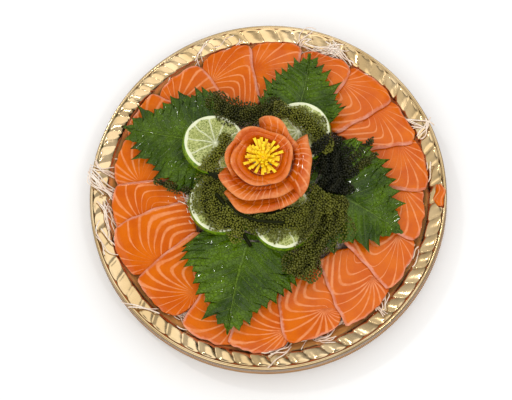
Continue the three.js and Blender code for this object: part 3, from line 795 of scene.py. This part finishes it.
def flower_petals():
    rng = random.Random(11)
    count = sum(whorl[0] for whorl in WHORLS)
    mesh, one = strand_mesh("flower petals", 8, 9, count)
    laid = []
    for petals, length, lift, start, height in WHORLS:
        for i in range(petals):
            turn = 2 * math.pi * (i + rng.uniform(-0.18, 0.18)) / petals + height
            up = math.radians(lift + rng.uniform(-7, 7))
            long = length * rng.uniform(0.86, 1.1)
            t = one[:, 2] + 0.5
            side, gut = one[:, 0], one[:, 1]
            wide = 0.72 + 0.5 * t ** 1.2
            notch = np.where(t > 0.95, 1.1 * np.abs(np.abs(side) - 0.2) - 0.5, 0)
            out = start + (long * t + notch) * np.cos(up * (1 - 0.3 * t))
            rise = height + (long * t) * np.sin(up * (1 - 0.3 * t)) + 0.3 * gut + 0.55 * side ** 2 * wide
            across = side * wide
            x = out * math.cos(turn) - across * math.sin(turn)
            y = out * math.sin(turn) + across * math.cos(turn)
            laid.append(np.stack([FLOWER_X + x, FLOWER_Y + y, FLOWER_BASE + rise], axis=1))
    return mesh, np.concatenate(laid)


yellow, tree, shader = new_finish("yellow petal", paint(252, 208, 10), 0.5)
tree.links.new(mix(tree, fade(tree, clouds(tree, 300, 2), 0.3, 0.7), paint(250, 198, 0), paint(255, 224, 0)),
               shader.inputs["Base Color"])
tree.links.new(relief(tree, clouds(tree, 800, 2), 0.0003, 0.5), shader.inputs["Normal"])
petals, laid = flower_petals()
finish_piece("flower_petals", petals, laid, yellow, ["flower"])
bm = bmesh.new()
bmesh.ops.create_uvsphere(bm, u_segments=40, v_segments=20, radius=1)
middle = mesh_from(bm, "flower middle")
p = points_of(middle)
knobs = 1 + 0.12 * np.sin(17 * np.arctan2(p[:, 1], p[:, 0])) * np.sin(14 * p[:, 2])
finish_piece("flower_middle", middle, p * knobs[:, None] * [3.0, 3.0, 3.4]
             + [FLOWER_X, FLOWER_Y, FLOWER_BASE + 2.4], yellow, [])


# Sea grapes: sprigs of a green seaweed, tiny round bladders crowded on soft dark runners. They are heaped
# round the rose, over the leaves and the lime slices.
BEAD = 0.98
CORE_SHARE = 0.6  # of a heap's half width
# name, half width, height, runner, height above the salmon, beads, darkest and lightest share
GRAPES = [
    ("back", 11, 6, [(-29, 88), (-15, 69), (5, 62), (28, 64)], 2.8, 900, 0.1, 0.45),
    ("back_right", 8.5, 5, [(20, 61), (38, 52), (50, 36), (56, 14)], 9.9, 640, 0.5, 0.9),
    ("right", 17, 10, [(54, 26), (60, 4), (52, -18)], 2.8, 1500, 0.0, 0.07),
    ("right_upper", 3.2, 5, [(70, 6), (82, 13), (94, 20)], 2.8, 170, 0.0, 0.4),
    ("right_lower", 3.2, 5, [(68, -4), (82, 2), (94, 7)], 2.8, 170, 0.0, 0.5),
    ("front_right", 17, 9, [(50, -20), (43, -40), (27, -53), (8, -78)], 2.8, 1800, 0.25, 0.7),
    ("front", 15, 5, [(46, -19), (25, -34), (-4, -27), (-22, -28)], 9.9, 1450, 0.35, 0.85),
    ("left", 14, 5, [(-22, -30), (-41, -19), (-47, -1), (-36, 21)], 9.9, 1150, 0.5, 0.95),
    ("left_upper", 5.0, 4, [(-48, 14), (-39, 25), (-29, 35), (-21, 47)], 6.0, 330, 0.6, 1.0),
    ("far_left", 3.6, 5, [(-60, 9), (-74, 17), (-88, 26)], 2.8, 180, 0.0, 0.5),
]


def along_runner(path, t):
    """Places on a smooth runner through its named points."""
    knots = np.linspace(0, 1, len(path))
    xs, ys = np.array(path, dtype=float).T
    fine = np.linspace(0, 1, 200)
    soft = np.exp(-((np.arange(-40, 41) / 18) ** 2))
    soft /= soft.sum()
    smooth = [np.convolve(np.pad(np.interp(fine, knots, c), 40, "reflect", reflect_type="odd"), soft, "valid")
              for c in (xs, ys)]
    return np.interp(t, fine, smooth[0]), np.interp(t, fine, smooth[1])


# how far the rose reaches out, by direction from its middle in degrees
ROSE_TURNS = [0, 20, 70, 90, 170, 200, 240, 262, 290, 310, 340, 360]
ROSE_REACH = [34, 32, 29, 24, 25, 30, 38, 44, 43, 38, 38, 34]


def on_limes(x, y):
    """Height of the tops of the lime slices, zero beside them."""
    height = np.zeros(len(x))
    for _, (cx, cy), tip, towards, _ in LIMES:
        slope, way = math.tan(math.radians(tip)), math.radians(towards)
        outwards = (x - cx) * math.cos(way) + (y - cy) * math.sin(way)
        top = LIME_LEVEL + LIME_THICK + LIME_RADIUS * math.sin(math.radians(tip)) + slope * outwards
        height = np.where(np.hypot(x - cx, y - cy) < LIME_RADIUS, np.maximum(height, top), height)
    return height


def sprig_ridge(x, y):
    """1 along the middle of each small sprig in a heap and 0 in the dips between them."""
    bend = 1.6 * np.sin((0.6 * x + 0.8 * y) / 6.0) + 1.3 * np.sin((x - 0.4 * y) / 9.0)
    return 0.5 + 0.5 * np.sin((0.8 * x - 0.6 * y) / 1.9 + bend) * np.cos(x / 23 + y / 7)


def crowd(rng, path, wide, tall, low, count):
    """Places for beads that fill a lumpy roll along a runner and don't run into each other."""
    tries = count * 14
    chance = np.random.default_rng(rng.randrange(10 ** 6))
    t = chance.random(tries)
    x0, y0 = along_runner(path, t)
    x1, y1 = along_runner(path, np.minimum(t + 0.02, 1))
    x2, y2 = along_runner(path, np.maximum(t - 0.02, 0))
    size = np.hypot(x1 - x2, y1 - y2)
    thin = 0.45 + 0.55 * np.sin(np.pi * (0.12 + 0.8 * t)) ** 0.6
    lump = 0.85 + 0.2 * np.sin(9 * t + wide) + 0.15 * np.sin(23 * t)
    side = np.clip(chance.normal(0, 0.55, tries), -1.2, 1.2) * wide * thin * lump
    hump = np.maximum(0.2, 1 - (side / (1.3 * wide)) ** 2)
    x, y = x0 - (y1 - y2) / size * side, y0 + (x1 - x2) / size * side
    z = np.maximum(ring_top(x, y) + low, on_limes(x, y)) + BEAD * 0.6
    z = z + chance.random(tries) * tall * hump * (0.4 + 0.7 * sprig_ridge(x, y))
    gap = BEAD * 1.7
    off_rose = np.hypot(x - ROSE_X, y - ROSE_Y)
    direction = np.mod(np.degrees(np.arctan2(y - ROSE_Y, x - ROSE_X)), 360)
    clear = off_rose > np.interp(direction, ROSE_TURNS, ROSE_REACH)
    x, y, z = x[clear], y[clear], z[clear]
    placed, taken = [], {}
    for spot in zip(x.tolist(), y.tolist(), z.tolist()):
        if len(placed) >= count:
            break
        cell = tuple(int(c // gap) for c in spot)
        near = (q for i in (-1, 0, 1) for j in (-1, 0, 1) for k in (-1, 0, 1)
                for q in taken.get((cell[0] + i, cell[1] + j, cell[2] + k), ()))
        if all((q[0] - spot[0]) ** 2 + (q[1] - spot[1]) ** 2 + (q[2] - spot[2]) ** 2 > gap * gap
               for q in near):
            taken.setdefault(cell, []).append(spot)
            placed.append(spot)
    return placed


bead_green, tree, shader = new_finish("sea grape", paint(84, 90, 30), 0.25, Coat_Weight=0.3,
                                      Coat_Roughness=0.06, Specular_IOR_Level=0.2)
# Bead colour runs from dark to light. It follows the beads' own random tone and painted shade in the dips
# between sprigs.
tone_and_dip_shade = value_of(tree, "bead_tone_and_dip_shade")
tree.links.new(mix(tree, tone_and_dip_shade, paint(8, 11, 2), paint(122, 124, 36)), shader.inputs["Base Color"])
tree.links.new(relief(tree, clouds(tree, 900, 1), 0.0002, 0.4), shader.inputs["Normal"])
runner_and_core_shade, tree, shader = new_finish("sea grape runner", paint(30, 36, 16), 0.5, Specular_IOR_Level=0.08)
stem = mix(tree, clouds(tree, 200, 2), paint(10, 14, 3), paint(38, 42, 10))
tree.links.new(stem, shader.inputs["Base Color"])
tree.links.new(relief(tree, clouds(tree, 600, 2), 0.0003, 0.6), shader.inputs["Normal"])

bm = bmesh.new()
bmesh.ops.create_icosphere(bm, subdivisions=1, radius=1)
one_bead = mesh_from(bm, "one bead")
bead_shape = points_of(one_bead)
for number, (name, wide, tall, path, low, count, dark, light) in enumerate(GRAPES):
    rng = random.Random(100 + number)
    places = crowd(rng, path, wide, tall, low, count)
    bm = bmesh.new()
    for _ in places:
        bm.from_mesh(one_bead)
    mesh = mesh_from(bm, f"sea grapes {name}")
    laid, tones_and_dip_shade = [], []
    for x, y, z in places:
        size = BEAD * rng.uniform(0.8, 1.12)
        laid.append(bead_shape * size + [x, y, z])
        # Beads in the dips between sprigs are painted darker: painted shade, on top of a random tone.
        bright = 0.5 * sprig_ridge(x, y) + 0.12 * math.sin(x / 6 + number) + 0.45 * rng.random()
        tones_and_dip_shade += [dark + (light - dark) * bright] * len(bead_shape)
    finish_piece(f"sea_grapes_{name}_beads", mesh, np.concatenate(laid), bead_green,
                 [f"sea_grapes_{name}"], {"bead_tone_and_dip_shade": tones_and_dip_shade})

# Inside each heap lies a broad flat core in the runners' dark colour, much thicker than a runner. It is a
# dark filler, painted shade showing between the beads.
cores, one = strand_mesh("sea grape shade cores", 14, 26, len(GRAPES))
laid = []
for _, wide, tall, path, low, *_ in GRAPES:
    def core(t, path=path, low=low, rise=0.12 * tall):
        x, y = along_runner(path, np.clip(t, 0.02, 0.98))
        return np.stack([x, y, np.maximum(ring_top(x, y) + low, on_limes(x, y)) + rise], axis=1)

    def core_width(t, wide=wide):
        return wide * CORE_SHARE * (0.3 + 0.7 * np.sin(np.pi * (0.08 + 0.84 * t)))
    laid.append(lay_tube(one, core, core_width, 0.2 * tall / (CORE_SHARE * wide)))
finish_piece("sea_grape_shade_cores", cores, np.concatenate(laid), runner_and_core_shade, [])

# path, height at its start and at its end, thickness
RUNNERS = [
    ([(-40, 0), (-33, -14), (-22, -46)], 42.5, 31.5, 1.5),
    ([(-33, -8), (-25, -21), (-13, -29), (8, -35)], 41.5, 41.0, 1.2),
]
runners, one = strand_mesh("sea grape runners", 8, 20, len(RUNNERS))
laid = []
for path, start, end, thick in RUNNERS:
    def runner(t, path=path, start=start, end=end):
        x, y = along_runner(path, t)
        return np.stack([x, y, start + (end - start) * t], axis=1)
    laid.append(lay_tube(one, runner, thick))
finish_piece("sea_grape_runners", runners, np.concatenate(laid), runner_and_core_shade, [])


# Floor, lights and camera: a pale table in a pale room, one broad soft light over the back right, a weaker
# one over the front left, and two small lamps whose glints show on what is wet.
RIM_HEIGHT = 0.025
AIMED_AT = (0, 0, 0.02)
CAMERA_AT, CAMERA_LOOKS_AT = (-0.01007, -0.18005, RIM_HEIGHT + 0.6330), (-0.01007, -0.00785, RIM_HEIGHT)
LENS, FILM_WIDTH, CAMERA_ROLL = 56.70, 36, math.radians(-12.53)
bm = bmesh.new()
bmesh.ops.create_grid(bm, x_segments=1, y_segments=1, size=4)
floor_mesh = bpy.data.meshes.new("floor")
bm.to_mesh(floor_mesh)
bm.free()
floor = bpy.data.objects.new("floor", floor_mesh)
bpy.context.scene.collection.objects.link(floor)
table_top, tree, shader = new_finish("pale table", paint(250, 250, 250), 0.7)
floor_mesh.materials.append(table_top)
world = bpy.data.worlds.new("room")
bpy.context.scene.world = world
world.use_nodes = True
room = world.node_tree
facing = add(room, "SeparateXYZ", {0: add(room, "TexCoord").outputs["Generated"]}).outputs
bright_side = plus(room, times(room, facing["X"], -0.6), times(room, facing["Y"], -0.3))
overhead = plus(room, times(room, facing["Y"], 0.2), times(room, facing["Z"], 0.98))
walls = mix(room, fade(room, bright_side, -0.7, 0.7), (0.5, 0.5, 0.5, 1), (1.25, 1.23, 1.18, 1))
walls = mix(room, fade(room, facing["Z"], 0.05, 0.4), (0.3, 0.28, 0.26, 1), walls)
room.links.new(mix(room, fade(room, overhead, 0.8, 0.97), walls, (0.3, 0.3, 0.3, 1)),
               room.nodes["Background"].inputs["Color"])
room.nodes["Background"].inputs["Strength"].default_value = 0.9


def soft_light(name, where, size, power):
    data = bpy.data.lights.new(name, "AREA")
    data.shape = "DISK"
    data.size = size
    data.energy = power
    lamp = bpy.data.objects.new(name, data)
    lamp.location = where
    lamp.rotation_euler = (Vector(AIMED_AT) - Vector(where)).to_track_quat("-Z", "Y").to_euler()
    bpy.context.scene.collection.objects.link(lamp)
    return lamp


key = soft_light("key light", (0.5, 0.5, 1.0), 1.5, 6.2)
fill = soft_light("fill light", (-0.35, -0.8, 0.9), 1.2, 3.2)
lamp = soft_light("lamp", (-0.4, 0.6, 1.0), 0.06, 1.4)
front = soft_light("front lamp", (0.4, -0.4, 1.0), 0.06, 1.0)

camera_data = bpy.data.cameras.new("camera")
camera_data.lens = LENS
camera_data.sensor_width = FILM_WIDTH
camera = bpy.data.objects.new("camera", camera_data)
camera.location = CAMERA_AT
look = Vector(CAMERA_LOOKS_AT) - camera.location
camera.rotation_mode = "QUATERNION"
roll = Matrix.Rotation(CAMERA_ROLL, 3, "Z").to_quaternion()
camera.rotation_quaternion = look.to_track_quat("-Z", "Y") @ roll
bpy.context.scene.collection.objects.link(camera)
bpy.context.scene.camera = camera
bpy.context.scene.view_settings.view_transform = "Standard"
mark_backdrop(floor, key, fill, lamp, front, camera)

low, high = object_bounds()
